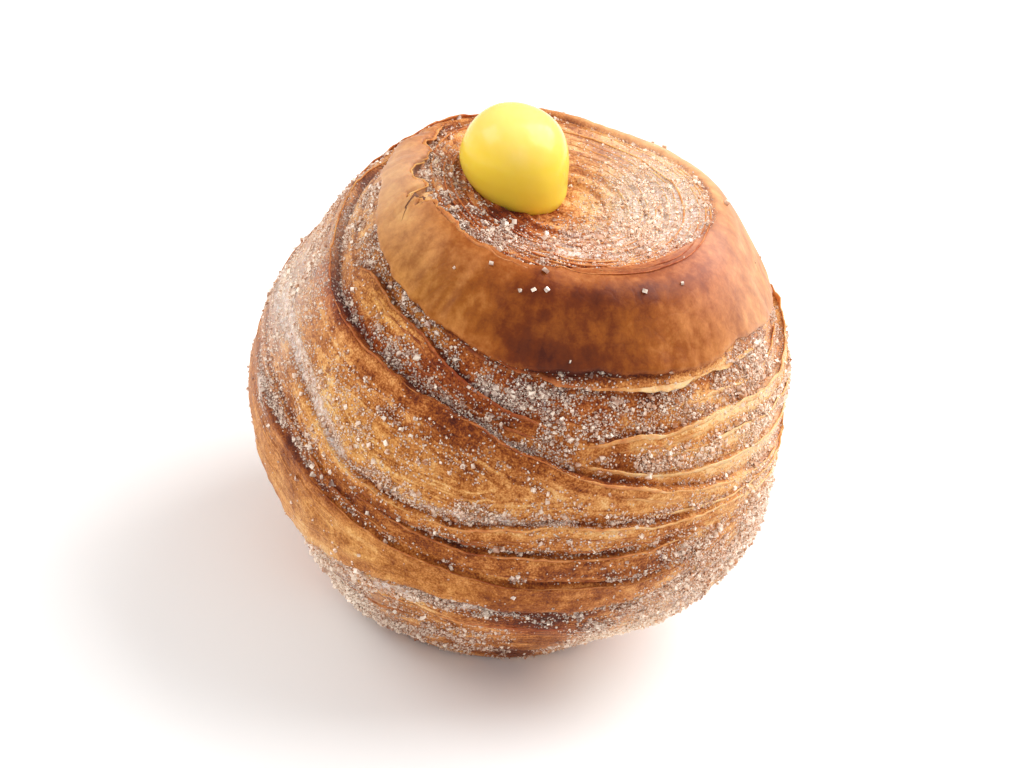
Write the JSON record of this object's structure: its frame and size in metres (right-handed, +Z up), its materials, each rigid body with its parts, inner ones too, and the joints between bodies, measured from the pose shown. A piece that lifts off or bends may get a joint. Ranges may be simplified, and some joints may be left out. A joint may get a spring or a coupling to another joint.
{
  "type": "cruffin",
  "caption": "Tall round cruffin of coiled laminated dough with a narrow foot, a swirled crater on top, coarse sugar, and a dollop of custard standing in the crater.",
  "frame": {"origin": "middle of the flat foot, on the surface it stands on", "axes": "+Z up out of the crater; -Y is the front, the side that the picture shows"},
  "size_m": [0.0857, 0.0863, 0.0877],
  "materials": {
    "baked_dough": "golden brown baked crust, dry and flaky",
    "custard": "smooth, moist, pale yellow"
  },
  "bodies": {
    "root": {"pastry": "baked_dough", "custard": "custard"}
  },
  "joints": []
}
